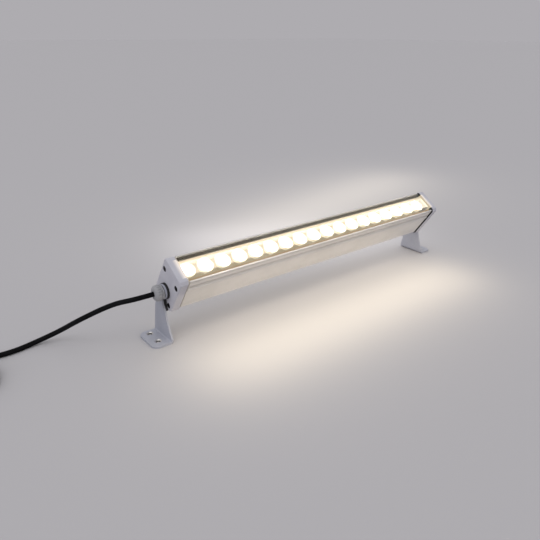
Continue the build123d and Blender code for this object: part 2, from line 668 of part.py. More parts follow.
# ================================================================ 9 supply cord
FLOOR_Z = CORD_R + 0.05
COIL_X, COIL_Y = -495.0, 87.1       # where the outer turn of the coil begins
COIL_STEP = 7.3                     # turn to turn, across and between the two layers
COIL_MEAN_R = 35.75
ROUTE = [(-CORD_START, 0, PIVOT_H), (-CORD_START - 36.0, 0, PIVOT_H), (-315.4, 21.5, 61.0), (-352.1, 47.9, 38.6),
         (-368.1, 79.5, 14.6), (-396.1, 90.5, FLOOR_Z), (-425.9, 83.6, FLOOR_Z), (-457.5, COIL_Y, FLOOR_Z),
         (COIL_X + CORD_D, COIL_Y, FLOOR_Z)]


def corner_radii(points):
    """Largest even arc at each corner: 0.45 of the shorter run over the tangent of half the turn."""
    pts = [Vector(*p) for p in points]
    radii = []
    for a, b, c in zip(pts, pts[1:], pts[2:]):
        turn = math.radians((b - a).get_angle(c - b))
        radii.append(0.45 * min((b - a).length, (c - b).length) / math.tan(turn / 2))
    return radii


def cord_run(points):
    """Cord along straight runs joined by tangent arcs."""
    pts = [Vector(*p) for p in points]
    radii = corner_radii(points)
    with BuildPart() as p:
        with BuildLine() as path:
            FilletPolyline(*pts, radius=radii)
        with BuildSketch(Plane(origin=pts[0], z_dir=(pts[1] - pts[0]).normalized())) as ring:
            Circle(CORD_R)
        sweep(ring.sketch, path=path.line)
    length = path.wire().length
    expect = math.pi * CORD_R ** 2 * length
    print("run radii", [round(r, 1) for r in radii], "length %.1f" % length,
          "volume / (section x length) %.5f" % (p.part.volume / expect))
    return p


cord_lead = cord_run(ROUTE)
finish(cord_lead, "cord_lead")


def coil_arcs():
    """Half turns of a two-layer coil, in and out again, as (start, middle, end) points, and its last point."""
    r0 = COIL_MEAN_R + 0.75 * COIL_STEP
    x, y, z, up = COIL_X, COIL_Y, FLOOR_Z, 1
    arcs = []

    def half(radius):
        nonlocal y, up
        y1 = y - up * 2 * radius
        arcs.append(((x, y, z), (x - up * radius, (y + y1) / 2, z), (x, y1, z)))
        y, up = y1, -up

    for k in range(4):
        half(r0 - k * COIL_STEP / 2)
    # the climb: two quarter turns in tilted planes, where the spiral reverses
    rc = r0 - 4 * COIL_STEP / 2
    s = Vector(x, y, z)
    e = Vector(x, y - up * 2 * rc, z + COIL_STEP)
    d = (e - s).length / 2
    t = Vector(-up, 0, 0)
    j = (s + e) / 2 + t * d
    for a, b, corner in ((s, j, s + t * d), (j, e, e + t * d)):
        c = a + b - corner
        m = c + (corner - c).normalized() * d
        arcs.append((tuple(a), tuple(m), tuple(b)))
    y, z, up = e.Y, e.Z, -up
    for k in (3, 2, 1):
        half(r0 - k * COIL_STEP / 2)
    return arcs, (x, y, z)


ARCS, COIL_END = coil_arcs()
with BuildPart() as cord_coil:
    with BuildLine() as coil_path:
        Line((COIL_X + CORD_D, COIL_Y, FLOOR_Z), ARCS[0][0])
        for a, m, b in ARCS:
            ThreePointArc(a, m, b)
        Line(COIL_END, (COIL_END[0] - CORD_D, COIL_END[1], COIL_END[2]))
    with BuildSketch(Plane(origin=(COIL_X + CORD_D, COIL_Y, FLOOR_Z), z_dir=(-1, 0, 0))) as coil_ring:
        Circle(CORD_R)
    sweep(coil_ring.sketch, path=coil_path.line)
finish(cord_coil, "cord_coil")
coil_wire = coil_path.wire()
coil_len = coil_wire.length
stations = [coil_wire @ (i / 900) for i in range(901)]
step = coil_len / 900
skip = int(3 * CORD_D / step) + 1
gap = min((stations[i] - stations[j]).length for i in range(0, 901, 2) for j in range(i + skip, 901, 2)) - CORD_D
print("coil length %.1f  volume / (section x length) %.5f  least gap to itself %.2f" % (
    coil_len, cord_coil.part.volume / (math.pi * CORD_R ** 2 * coil_len), gap))

# ---------------------------------------------------------------- tail and inline plug
PLUG_Z = 8.5
PLUG_R = 8.4
PLUG_IN = 4.0
SLEEVE_L = 20.0         # tapered strain relief in front of the plug
TX, TY, TZ = COIL_END[0] - CORD_D, COIL_END[1], COIL_END[2]
TAIL = [(TX, TY, TZ), (TX - 44, TY, TZ), (TX - 88, TY - 4.0, PLUG_Z), (TX - 132, TY - 4.0, PLUG_Z)]
cord_tail = cord_run(TAIL)
finish(cord_tail, "cord_tail")

PLUG_X = TAIL[-1][0] + PLUG_IN
PLUG_Y = TAIL[-1][1]


def plug_plane(dist):
    return Plane(origin=(PLUG_X - dist, PLUG_Y, PLUG_Z), x_dir=(0, 1, 0), z_dir=(-1, 0, 0))


def plug_rod(dist, r, length, mode=Mode.ADD):
    with Locations(plug_plane(dist).location):
        Cylinder(r, length, align=(Align.CENTER, Align.CENTER, Align.MIN), mode=mode)


PLUG_BODY_L = 40.0
N_PINS = 3
PIN_RING_R = 2.6
with BuildPart() as plug_body:
    plug_rod(0, 6.6, 16.0)
    chamfer(plug_body.edges().filter_by(GeomType.CIRCLE).sort_by(Axis.X)[-1], 1.0)
    with Locations(plug_plane(-SLEEVE_L).location):
        Cone(CORD_R + 0.9, 5.5, SLEEVE_L, align=(Align.CENTER, Align.CENTER, Align.MIN))
    plug_rod(16.0, 7.6, 3.0)
    plug_rod(19.0, 5.6, PLUG_BODY_L - 19.0)
    plug_rod(-SLEEVE_L - 1, CORD_R + 0.03, SLEEVE_L + PLUG_IN + 1, mode=Mode.SUBTRACT)
    with BuildSketch(plug_plane(PLUG_BODY_L)):
        with PolarLocations(PIN_RING_R, N_PINS, start_angle=90):
            Circle(0.8)
    extrude(amount=-8.0, mode=Mode.SUBTRACT)
    with BuildSketch(plug_plane(1.6)):
        with PolarLocations(6.9, 14):
            Circle(0.7)
    extrude(amount=12.0, mode=Mode.SUBTRACT)
finish(plug_body, "plug_body")

with BuildPart() as plug_ring:
    plug_rod(19.3, PLUG_R, 18.0)
    chamfer(plug_ring.edges().filter_by(GeomType.CIRCLE), 0.5)
    plug_rod(18.3, 5.7, 20.0, mode=Mode.SUBTRACT)
    plug_rod(30.0, 7.0, 9.0, mode=Mode.SUBTRACT)
    with BuildSketch(plug_plane(19.9)):
        with PolarLocations(PLUG_R + 0.2, 20):
            Circle(0.7)
    extrude(amount=16.8, mode=Mode.SUBTRACT)
finish(plug_ring, "plug_ring")

with BuildPart() as plug_pins:
    with BuildSketch(plug_plane(PLUG_BODY_L - 8.0)):
        with PolarLocations(PIN_RING_R, N_PINS, start_angle=90):
            Circle(0.8)
    extrude(amount=13.0)
finish(plug_pins, "plug_pins")

export_all(("cord_lead", "cord_coil", "cord_tail", "plug_body", "plug_ring", "plug_pins"))
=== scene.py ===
"""Looks of an outdoor linear wall washer light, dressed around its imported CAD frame.

Lengths are written in millimetres and turned to metres by MM. The axes are the frame's: +X runs along
the lamp away from its cable, -Y is the lit side, +Z is up and the floor is at Z = 0.
"""

import json
import logging
import math
from dataclasses import dataclass, field
from enum import Enum

import bmesh
import bpy
from mathutils import Matrix, Vector


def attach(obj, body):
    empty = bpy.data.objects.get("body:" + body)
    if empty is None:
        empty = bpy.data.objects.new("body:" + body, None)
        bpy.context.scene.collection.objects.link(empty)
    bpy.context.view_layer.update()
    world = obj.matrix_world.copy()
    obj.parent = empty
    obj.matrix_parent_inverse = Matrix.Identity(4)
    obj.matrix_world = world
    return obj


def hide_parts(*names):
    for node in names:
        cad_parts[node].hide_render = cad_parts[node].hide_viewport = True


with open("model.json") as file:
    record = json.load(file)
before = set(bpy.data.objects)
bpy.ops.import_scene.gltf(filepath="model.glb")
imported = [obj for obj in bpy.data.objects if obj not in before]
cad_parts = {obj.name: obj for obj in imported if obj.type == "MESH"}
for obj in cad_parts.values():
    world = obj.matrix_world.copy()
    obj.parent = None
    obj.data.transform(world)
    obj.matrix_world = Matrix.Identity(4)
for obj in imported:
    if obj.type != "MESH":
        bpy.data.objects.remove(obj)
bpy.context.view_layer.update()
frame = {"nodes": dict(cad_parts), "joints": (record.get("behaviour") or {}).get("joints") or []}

LOG = logging.getLogger("wall_washer")
MM = 0.001
Point = tuple[float, float, float]
Span = tuple[float, float]
Node = bpy.types.Node
Socket = bpy.types.NodeSocket
Tree = bpy.types.NodeTree


def turning_axis() -> Vector:
    """Return a point of the lamp's turning axis, in metres, from the frame's tilt joint."""
    tilt = next(joint for joint in frame["joints"] if joint["name"] == "lamp_tilt")
    return Vector(tilt["pos_m"])


AXIS = turning_axis()
LEAN = math.radians(33.4)                                   # the window leans this far from level
ALONG = Vector((1.0, 0.0, 0.0))                             # along the lamp, away from its cable
ACROSS = Vector((0.0, math.cos(LEAN), math.sin(LEAN)))      # across the window, towards the back
NORMAL = Vector((0.0, -math.sin(LEAN), math.cos(LEAN)))     # out of the window


def in_lamp(along: float, across: float, out: float) -> Vector:
    """Place a point of the lamp's own section.

    Args:
        along: Distance along the lamp from its middle, mm.
        across: Distance across the window from the turning axis, towards the back, mm.
        out: Distance from the turning axis towards the window, mm.

    Returns:
        The point in the frame, in metres.
    """
    return AXIS + (ALONG * along + ACROSS * across + NORMAL * out) * MM


# ------------------------------------------------------------------ colour and shader nodes
def linear(colour: str) -> tuple[float, float, float, float]:
    """Turn an sRGB hex colour, such as #C8C4BE, to linear RGBA."""
    shares = [int(colour[i:i + 2], 16) / 255 for i in (1, 3, 5)]
    return tuple(s / 12.92 if s <= 0.04045 else ((s + 0.055) / 1.055) ** 2.4 for s in shares) + (1.0,)


def add_node(
    tree: Tree, kind: str, inputs: dict[str | int, object] | None = None, **settings: object
) -> Node:
    """Add one shader node, set it up and fill its inputs.

    Args:
        tree: Node tree that gets the node.
        kind: Blender's type name of the node.
        inputs: What each input gets: a socket is linked to it, and anything else is its value.
        **settings: The node's own properties.

    Returns:
        The new node.
    """
    made = tree.nodes.new(kind)
    for name, value in settings.items():
        setattr(made, name, value)
    for name, given in (inputs or {}).items():
        if isinstance(given, Socket):
            tree.links.new(given, made.inputs[name])
        else:
            made.inputs[name].default_value = given
    return made


@dataclass(frozen=True)
class Surface:
    """A material in the making.

    Attributes:
        tree: Its node tree.
        place: Position on the piece, in metres.
        shader: Its Principled shader.
    """

    tree: Tree
    place: Socket
    shader: Node

    def feed(self, name: str, source: Socket) -> None:
        """Link a socket to one of the shader's inputs."""
        self.tree.links.new(source, self.shader.inputs[name])

    def glow(self, tone: str, strength: Socket) -> None:
        """Let the surface glow in one tone, as strongly as a socket says."""
        self.shader.inputs["Emission Color"].default_value = linear(tone)
        self.feed("Emission Strength", strength)

    def cover(self, where: Socket, tone: str) -> None:
        """Paint one tone over the surface's colour.

        Args:
            where: A socket that is 1 where the tone goes and 0 elsewhere.
            tone: The tone, sRGB hex.
        """
        under = self.shader.inputs["Base Color"].links[0].from_socket
        both = add_node(
            self.tree, "ShaderNodeMix", {0: where, 6: under, 7: linear(tone)}, data_type="RGBA"
        )
        self.feed("Base Color", both.outputs[2])

    def lamp_place(self) -> tuple[Socket, Socket, Socket]:
        """Read the position in the lamp's own section.

        Returns:
            Sockets with the distance along the lamp, across its window and out of its window, in metres.
        """
        from_axis = add_node(
            self.tree, "ShaderNodeVectorMath", {0: self.place, 1: tuple(AXIS)}, operation="SUBTRACT"
        ).outputs["Vector"]
        return tuple(
            add_node(
                self.tree, "ShaderNodeVectorMath", {0: from_axis, 1: tuple(way)}, operation="DOT_PRODUCT"
            ).outputs["Value"]
            for way in (ALONG, ACROSS, NORMAL)
        )


def between(tree: Tree, value: Socket, low_mm: float, high_mm: float) -> Socket:
    """Tell where a length lies between two others.

    Args:
        tree: The material's node tree.
        value: The length, in metres.
        low_mm: The lower limit.
        high_mm: The upper limit.

    Returns:
        A socket that is 1 there and 0 elsewhere.
    """
    above = add_node(tree, "ShaderNodeMath", {0: value, 1: low_mm * MM}, operation="GREATER_THAN")
    below = add_node(tree, "ShaderNodeMath", {0: value, 1: high_mm * MM}, operation="LESS_THAN")
    return add_node(
        tree, "ShaderNodeMath", {0: above.outputs["Value"], 1: below.outputs["Value"]}, operation="MULTIPLY"
    ).outputs["Value"]


@dataclass(frozen=True)
class Channel:
    """A straight-walled stretch of the channel that the lenses stand in.

    Attributes:
        half_mm: Half its width.
        from_mm: Where it begins, out from the turning axis.
        to_mm: Where it ends.
    """

    half_mm: float
    from_mm: float
    to_mm: float

    def mask(self, surface: Surface) -> Socket:
        """Tell where a surface lies in this stretch.

        Args:
            surface: The material in the making.

        Returns:
            A socket that is 1 there and 0 elsewhere.
        """
        _, across, out = surface.lamp_place()
        aside = between(surface.tree, across, -self.half_mm, self.half_mm)
        level = between(surface.tree, out, self.from_mm, self.to_mm)
        return add_node(
            surface.tree, "ShaderNodeMath", {0: aside, 1: level}, operation="MULTIPLY"
        ).outputs["Value"]


LIT_WALLS = Channel(17.6, 19.0, 34.9)           # the extrusion's walls, from the board up to the ledges
END_BELOW_LEDGES = Channel(17.3, 19.5, 36.4)    # what closes the channel's end, up to the ledges
END_AT_LEDGES = Channel(14.5, 19.5, 60.0)       # and between the ledges, up to its rim and beyond


def window_end(surface: Surface) -> Socket:
    """Tell where a surface closes the window's end, between the ledges and above the board.

    Args:
        surface: The material in the making.

    Returns:
        A socket that is 1 there and 0 elsewhere.
    """
    below, level = END_BELOW_LEDGES.mask(surface), END_AT_LEDGES.mask(surface)
    return add_node(
        surface.tree, "ShaderNodeMath", {0: below, 1: level}, operation="MAXIMUM"
    ).outputs["Value"]


# ------------------------------------------------------------------ finishes
@dataclass(frozen=True)
class Finish:
    """A surface as it is made: two tones that drift into each other, and a fine grain that is felt.

    Attributes:
        name: Plain name of the finish.
        tone: Main colour, sRGB hex.
        second: The colour that the main one drifts to.
        drift_mm: Size of the patches in which the colour drifts.
        grain_mm: Size of the surface's grain.
        relief_mm: Height of that grain.
        rough: Lowest and highest roughness.
        metallic: 1 for bare metal.
        stretch: How much longer than wide the grain is, along x, y and z.
        shine: Specular level of a surface that is no metal.
        drift_span: Levels of the noise between which one tone turns into the other.
        grain_span: Levels of the noise at the lowest and the highest roughness.
    """

    name: str
    tone: str
    second: str
    drift_mm: float
    grain_mm: float
    relief_mm: float
    rough: Span
    metallic: float = 0.0
    stretch: Point = (1.0, 1.0, 1.0)
    shine: float = 0.5
    drift_span: Span = (0.38, 0.62)
    grain_span: Span = (0.3, 0.7)

    def material(self) -> bpy.types.Material:
        """Return the Blender material of this finish, made once."""
        known = bpy.data.materials.get(self.name)
        if known:
            return known
        material = bpy.data.materials.new(self.name)
        material.use_nodes = True
        tree = material.node_tree
        tree.nodes.clear()
        levels = {"Metallic": self.metallic, "Specular IOR Level": self.shine}
        surface = Surface(
            tree=tree,
            place=add_node(tree, "ShaderNodeTexCoord").outputs["Object"],
            shader=add_node(tree, "ShaderNodeBsdfPrincipled", levels),
        )
        self.colour(surface)
        self.texture(surface)
        self.light(surface)
        self.output(surface)
        return material

    def colour(self, surface: Surface) -> None:
        """Let the two tones drift into each other.

        Args:
            surface: The material in the making.
        """
        drift = add_node(
            surface.tree,
            "ShaderNodeTexNoise",
            {"Vector": surface.place, "Scale": 1 / (self.drift_mm * MM), "Detail": 3.0, "Roughness": 0.55},
        )
        ramp = add_node(surface.tree, "ShaderNodeValToRGB", {"Fac": drift.outputs["Fac"]})
        for stop, at, tone in zip(ramp.color_ramp.elements, self.drift_span, (self.second, self.tone)):
            stop.position = at
            stop.color = linear(tone)
        surface.feed("Base Color", ramp.outputs["Color"])

    def texture(self, surface: Surface) -> None:
        """Give the surface its grain, in relief and in gloss.

        Args:
            surface: The material in the making.
        """
        scale = tuple(1 / (self.grain_mm * MM * longer) for longer in self.stretch)
        drawn = add_node(surface.tree, "ShaderNodeMapping", {"Vector": surface.place, "Scale": scale})
        grain = add_node(
            surface.tree,
            "ShaderNodeTexNoise",
            {"Vector": drawn.outputs["Vector"], "Scale": 1.0, "Detail": 2.0},
        ).outputs["Fac"]
        low, high = self.grain_span
        smoother, rougher = self.rough
        gloss = add_node(
            surface.tree,
            "ShaderNodeMapRange",
            {"Value": grain, "From Min": low, "From Max": high, "To Min": smoother, "To Max": rougher},
        )
        relief = add_node(
            surface.tree,
            "ShaderNodeBump",
            {"Height": grain, "Strength": 1.0, "Distance": self.relief_mm * MM},
        )
        surface.feed("Roughness", gloss.outputs["Result"])
        surface.feed("Normal", relief.outputs["Normal"])

    def light(self, surface: Surface) -> None:
        """Most surfaces give no light of their own."""

    def output(self, surface: Surface) -> None:
        """Send the shader to the material's output."""
        add_node(surface.tree, "ShaderNodeOutputMaterial", {"Surface": surface.shader.outputs["BSDF"]})


@dataclass(frozen=True)
class CapCoat(Finish):
    """Powder coat on an end cap, with painted shade, near black, on the face that meets the gasket.

    Attributes:
        gap_shade: Colour of the shade painted on that face.
        gap_shade_mm: How far from the lamp's middle the painted shade reaches.
        glow: Colour of the light that the last lens throws on it at the window's end.
        strength: Strength of that light.
        spill: Strength of the light that spills over its rim there.
        spill_mm: Where the spilt light begins and has gone, from the lamp's middle.
    """

    gap_shade: str = "#121112"
    gap_shade_mm: float = 241.16
    glow: str = "#FFEBC9"
    strength: float = 0.55
    spill: float = 0.45
    spill_mm: Span = (241.1, 248.0)

    def light(self, surface: Surface) -> None:
        """Paint shade on the face that meets the gasket, and light what closes the window's end.

        Args:
            surface: The material in the making.
        """
        tree = surface.tree
        along, _, _ = surface.lamp_place()
        from_middle = add_node(tree, "ShaderNodeMath", {0: along}, operation="ABSOLUTE").outputs["Value"]
        in_gap_shade = add_node(
            tree, "ShaderNodeMath", {0: from_middle, 1: self.gap_shade_mm * MM}, operation="LESS_THAN"
        ).outputs["Value"]
        # painted shade: the face beside the gasket is blackened, as its gap lies in shade
        surface.cover(in_gap_shade, self.gap_shade)
        face = add_node(
            tree, "ShaderNodeMath", {0: in_gap_shade, 1: self.strength}, operation="MULTIPLY"
        ).outputs["Value"]
        begins, gone = self.spill_mm
        rim = add_node(
            tree,
            "ShaderNodeMapRange",
            {
                "Value": from_middle, "From Min": begins * MM, "From Max": gone * MM,
                "To Min": self.spill, "To Max": 0.0,
            },
            interpolation_type="SMOOTHSTEP",
        ).outputs["Result"]
        thrown = add_node(tree, "ShaderNodeMath", {0: face, 1: rim}, operation="MAXIMUM").outputs["Value"]
        lit = add_node(tree, "ShaderNodeMath", {0: thrown, 1: window_end(surface)}, operation="MULTIPLY")
        surface.glow(self.glow, lit.outputs["Value"])


@dataclass(frozen=True)
class EndRubber(Finish):
    """Rubber of an end gasket, which the last lens lights at the window's end.

    Attributes:
        glow: Colour of that light.
        strength: Strength of that light.
        shade_fill_glow: Strength of a painted glow on the rest of it, which lightens the shade of its gap.
    """

    glow: str = "#FFEBC9"
    strength: float = 0.55
    shade_fill_glow: float = 0.0

    def light(self, surface: Surface) -> None:
        """Light what closes the window's end, and paint a faint glow on the rest, against the shade of its
        gap.

        Args:
            surface: The material in the making.
        """
        # painted light: outside the window's end the gasket glows faintly, to lighten the shade of its gap
        ends = {"Value": window_end(surface), "To Min": self.shade_fill_glow, "To Max": self.strength}
        lit = add_node(surface.tree, "ShaderNodeMapRange", ends)
        surface.glow(self.glow, lit.outputs["Result"])


@dataclass(frozen=True)
class BracketCoat(Finish):
    """Powder coat on a bracket, with bare steel in the countersinks of its foot and painted shade in its
    holes.

    Attributes:
        bare: Colour of the bare steel.
        shadow: Colour of the shade painted on the holes' walls.
        feet_mm: Distance of each foot's holes from the lamp's middle.
        pair_mm: Middle of a foot's two holes, behind the origin.
        half_mm: Half the distance between the two.
        sink_mm: Radius of a countersink.
        drill_mm: Radius of a hole.
    """

    bare: str = "#E4E2DE"
    shadow: str = "#0C0C0D"
    feet_mm: float = 270.55
    pair_mm: float = 14.33
    half_mm: float = 12.0
    sink_mm: float = 4.58
    drill_mm: float = 3.0

    def light(self, surface: Surface) -> None:
        """Bare the countersinks, and paint shade on the walls of the holes.

        Args:
            surface: The material in the making.
        """
        folds = (
            ("SUBTRACT", (0.0, self.pair_mm * MM, 0.0)),
            ("ABSOLUTE", (0.0, 0.0, 0.0)),
            ("SUBTRACT", (self.feet_mm * MM, self.half_mm * MM, 0.0)),
            ("MULTIPLY", (1.0, 1.0, 0.0)),
        )
        folded = surface.place                  # all four holes fold onto one, seen from above
        for operation, by in folds:
            folded = add_node(
                surface.tree, "ShaderNodeVectorMath", {0: folded, 1: by}, operation=operation
            ).outputs["Vector"]
        away = add_node(
            surface.tree, "ShaderNodeVectorMath", {0: folded}, operation="LENGTH"
        ).outputs["Value"]
        sunk, drilled = (
            add_node(
                surface.tree, "ShaderNodeMath", {0: away, 1: radius * MM}, operation="LESS_THAN"
            ).outputs["Value"]
            for radius in (self.sink_mm, self.drill_mm)
        )
        surface.cover(sunk, self.bare)
        # painted shade inside the holes
        surface.cover(drilled, self.shadow)
        surface.feed("Metallic", sunk)


@dataclass(frozen=True)
class AnodisedExtrusion(Finish):
    """Extruded aluminium, etched and clear anodised: satin, with faint lines drawn along its length.

    The walls of the channel behind the window face the lenses, which fill them with warm light.

    Attributes:
        glow: Colour of that light.
        strength: How bright the walls are.
    """

    glow: str = "#FFE4BC"
    strength: float = 0.27

    def light(self, surface: Surface) -> None:
        """Light the channel's walls, from the board up to the ledges.

        Args:
            surface: The material in the making.
        """
        lit = add_node(
            surface.tree,
            "ShaderNodeMath",
            {0: LIT_WALLS.mask(surface), 1: self.strength},
            operation="MULTIPLY",
        )
        surface.glow(self.glow, lit.outputs["Value"])


@dataclass(frozen=True)
class LensRow:
    """Where the row of lenses stands, for their meshes and for the finishes that follow them.

    Attributes:
        count: Number of lenses.
        pitch_mm: Distance from lens to lens.
        shift_mm: Middle of the row, along the lamp.
        radius_mm: Radius of a lens's front.
    """

    count: int = 18
    pitch_mm: float = 26.65
    shift_mm: float = -4.5
    radius_mm: float = 11.0

    def stations(self) -> list[float]:
        """Return each lens's place along the lamp, mm."""
        return [self.shift_mm + (i - (self.count - 1) / 2) * self.pitch_mm for i in range(self.count)]

    def from_lens(self, surface: Surface) -> Socket:
        """Measure how far a surface is from the nearest lens's axis.

        Args:
            surface: The material in the making.

        Returns:
            A socket with that distance, in metres.
        """
        tree = surface.tree
        along, across, _ = surface.lamp_place()
        first, pitch = self.stations()[0] * MM, self.pitch_mm * MM
        steps = add_node(
            tree,
            "ShaderNodeMapRange",
            {"Value": along, "From Min": first, "From Max": first + pitch, "To Min": 0.0, "To Max": 1.0},
            clamp=False,
        ).outputs["Result"]
        held = add_node(tree, "ShaderNodeClamp", {"Value": steps, "Min": 0.0, "Max": self.count - 1.0})
        nearest = add_node(tree, "ShaderNodeMath", {0: held.outputs["Result"]}, operation="ROUND")
        off = add_node(tree, "ShaderNodeMath", {0: steps, 1: nearest.outputs["Value"]}, operation="SUBTRACT")
        aside = add_node(tree, "ShaderNodeMath", {0: off.outputs["Value"], 1: pitch}, operation="MULTIPLY")
        both = add_node(tree, "ShaderNodeCombineXYZ", {"X": aside.outputs["Value"], "Y": across})
        return add_node(
            tree, "ShaderNodeVectorMath", {0: both.outputs["Vector"]}, operation="LENGTH"
        ).outputs["Value"]


@dataclass(frozen=True)
class LitFinish(Finish):
    """A surface beside or under the lenses, which their light spills over.

    Attributes:
        glow: Colour of the spilt light.
        near_mm: Distance from a lens's axis up to which it is brightest.
        far_mm: Distance at which it has died away.
        most: Strength near the lens.
        least: Strength far from it.
        row: The lenses that it follows.
    """

    glow: str = "#FFE7BE"
    near_mm: float = 9.0
    far_mm: float = 17.5
    most: float = 0.8
    least: float = 0.02
    row: LensRow = LensRow()

    def light(self, surface: Surface) -> None:
        """Let the spilt light die away from each lens.

        Args:
            surface: The material in the making.
        """
        spilt = add_node(
            surface.tree,
            "ShaderNodeMapRange",
            {
                "Value": self.row.from_lens(surface),
                "From Min": self.near_mm * MM, "From Max": self.far_mm * MM,
                "To Min": self.most, "To Max": self.least,
            },
            interpolation_type="SMOOTHSTEP",
        )
        surface.glow(self.glow, spilt.outputs["Result"])


@dataclass(frozen=True)
class LensAcrylic(Finish):
    """Moulded acrylic collimator: clear, with a pillowed front that the emitter behind it fills with light.

    Attributes:
        core: Colour in the middle of the lit front.
        rim: Colour at its edge.
        core_strength: Strength in the middle.
        rim_strength: Strength at the edge.
        side_strength: Strength of the tapered side, which lets little out.
        fade: Where the middle's light begins to fade and has gone, as shares of the front's radius.
        front_mm: Where the front begins, out from the turning axis.
        turn_mm: Depth over which the side's light turns into the front's.
        pillow_mm: Width of one pillow of the front.
        pillow_share: How much of the pillows' relief shows.
        row: The lenses.
    """

    core: str = "#FFFDF4"
    rim: str = "#FFF0CC"
    core_strength: float = 5.0
    rim_strength: float = 0.35
    side_strength: float = 0.22
    fade: Span = (0.55, 0.93)
    front_mm: float = 36.1
    turn_mm: float = 0.6
    pillow_mm: float = 1.6
    pillow_share: float = 0.6
    row: LensRow = LensRow()

    def texture(self, surface: Surface) -> None:
        """Mould the front into small pillows and keep it glossy.

        Args:
            surface: The material in the making.
        """
        pillows = add_node(
            surface.tree,
            "ShaderNodeTexVoronoi",
            {"Vector": surface.place, "Scale": 1 / (self.pillow_mm * MM)},
            feature="SMOOTH_F1",
        )
        relief = add_node(
            surface.tree,
            "ShaderNodeBump",
            {
                "Height": pillows.outputs["Distance"],
                "Strength": self.pillow_share, "Distance": self.relief_mm * MM,
            },
            invert=True,
        )
        surface.shader.inputs["Roughness"].default_value = self.rough[0]
        surface.feed("Normal", relief.outputs["Normal"])

    def light(self, surface: Surface) -> None:
        """Light the front from the middle outwards, and the side a little.

        Args:
            surface: The material in the making.
        """
        _, _, out = surface.lamp_place()
        begins, gone = (share * self.row.radius_mm * MM for share in self.fade)
        span = {"Value": self.row.from_lens(surface), "From Min": begins, "From Max": gone}
        tint, front = (
            add_node(
                surface.tree,
                "ShaderNodeMapRange",
                span | {"To Min": middle, "To Max": edge},
                interpolation_type="SMOOTHSTEP",
            ).outputs["Result"]
            for middle, edge in ((0.0, 1.0), (self.core_strength, self.rim_strength))
        )
        tone = add_node(surface.tree, "ShaderNodeValToRGB", {"Fac": tint})
        for stop, colour in zip(tone.color_ramp.elements, (self.core, self.rim)):
            stop.color = linear(colour)
        forward = add_node(
            surface.tree,
            "ShaderNodeMapRange",
            {
                "Value": out,
                "From Min": (self.front_mm - self.turn_mm) * MM, "From Max": self.front_mm * MM,
                "To Min": self.side_strength, "To Max": front,
            },
        )
        surface.feed("Emission Color", tone.outputs["Color"])
        surface.feed("Emission Strength", forward.outputs["Result"])


@dataclass(frozen=True)
class WindowGlass(Finish):
    """Tempered float glass: clear, with a faint film of dust that shows where it catches the light.

    Attributes:
        clear: Tint of the light that goes straight through.
        index: Index of refraction.
        dust: Share of the light that the film takes where it is thickest.
        dust_span: Levels of the noise between which the film thickens.
        veil: Strength of the lenses' light that the pane scatters over and between them.
        veil_tone: Colour of that light.
        veil_near_mm: Where the veil begins and is whole, across the window.
        veil_far_mm: Where it begins to fade and has gone.
        veil_gain: How many times stronger it is at the end away from the cable.
        veil_gain_mm: Where it begins to gain and has gained all, along the lamp.
    """

    clear: str = "#FDFDFB"
    index: float = 1.52
    dust: float = 0.04
    dust_span: Span = (0.45, 0.75)
    veil: float = 0.48
    veil_tone: str = "#FFEFD6"
    veil_near_mm: Span = (-12.3, -9.5)
    veil_far_mm: Span = (4.0, 13.5)
    veil_gain: float = 1.5
    veil_gain_mm: Span = (40.0, 235.0)

    def output(self, surface: Surface) -> None:
        """Let the lenses' light straight through, and mirror the surroundings as glass does.

        Args:
            surface: The material in the making.
        """
        tree = surface.tree
        inner = add_node(tree, "ShaderNodeNewGeometry").outputs["Backfacing"]
        outer = add_node(tree, "ShaderNodeMath", {0: 1.0, 1: inner}, operation="SUBTRACT").outputs["Value"]
        bounce = add_node(tree, "ShaderNodeFresnel", {"IOR": self.index}).outputs["Fac"]
        mirror = add_node(tree, "ShaderNodeMath", {0: bounce, 1: outer}, operation="MULTIPLY")
        patches = add_node(
            tree,
            "ShaderNodeTexNoise",
            {"Vector": surface.place, "Scale": 1 / (self.drift_mm * MM), "Detail": 4.0},
        )
        thin, thick = self.dust_span
        film = add_node(
            tree,
            "ShaderNodeMapRange",
            {
                "Value": patches.outputs["Fac"], "From Min": thin, "From Max": thick,
                "To Min": 0.0, "To Max": self.dust,
            },
        )
        seen = add_node(
            tree,
            "ShaderNodeMath",
            {0: mirror.outputs["Value"], 1: film.outputs["Result"]},
            operation="ADD",
            use_clamp=True,
        )
        through = add_node(tree, "ShaderNodeBsdfTransparent", {"Color": linear(self.clear)})
        pane = add_node(
            tree,
            "ShaderNodeMixShader",
            {"Fac": seen.outputs["Value"], 1: through.outputs["BSDF"], 2: surface.shader.outputs["BSDF"]},
        )
        scattered = add_node(
            tree,
            "ShaderNodeEmission",
            {"Strength": self.haze(surface, outer), "Color": linear(self.veil_tone)},
        )
        whole = add_node(
            tree, "ShaderNodeAddShader", {0: pane.outputs["Shader"], 1: scattered.outputs["Emission"]}
        )
        add_node(tree, "ShaderNodeOutputMaterial", {"Surface": whole.outputs["Shader"]})

    def haze(self, surface: Surface, outer: Socket) -> Socket:
        """Measure out the veil.

        Args:
            surface: The material in the making.
            outer: A socket that is 1 on the faces seen from outside and 0 on the others.

        Returns:
            A socket with the veil's strength.
        """
        along, across, _ = surface.lamp_place()
        strength = outer
        for way, (begins, ends), low, high, shape in (
            (across, self.veil_near_mm, 0.0, self.veil, "SMOOTHSTEP"),
            (across, self.veil_far_mm, 1.0, 0.0, "SMOOTHSTEP"),
            (along, self.veil_gain_mm, 1.0, self.veil_gain, "LINEAR"),
        ):
            share = add_node(
                surface.tree,
                "ShaderNodeMapRange",
                {"Value": way, "From Min": begins * MM, "From Max": ends * MM, "To Min": low, "To Max": high},
                interpolation_type=shape,
            ).outputs["Result"]
            strength = add_node(
                surface.tree, "ShaderNodeMath", {0: strength, 1: share}, operation="MULTIPLY"
            ).outputs["Value"]
        return strength


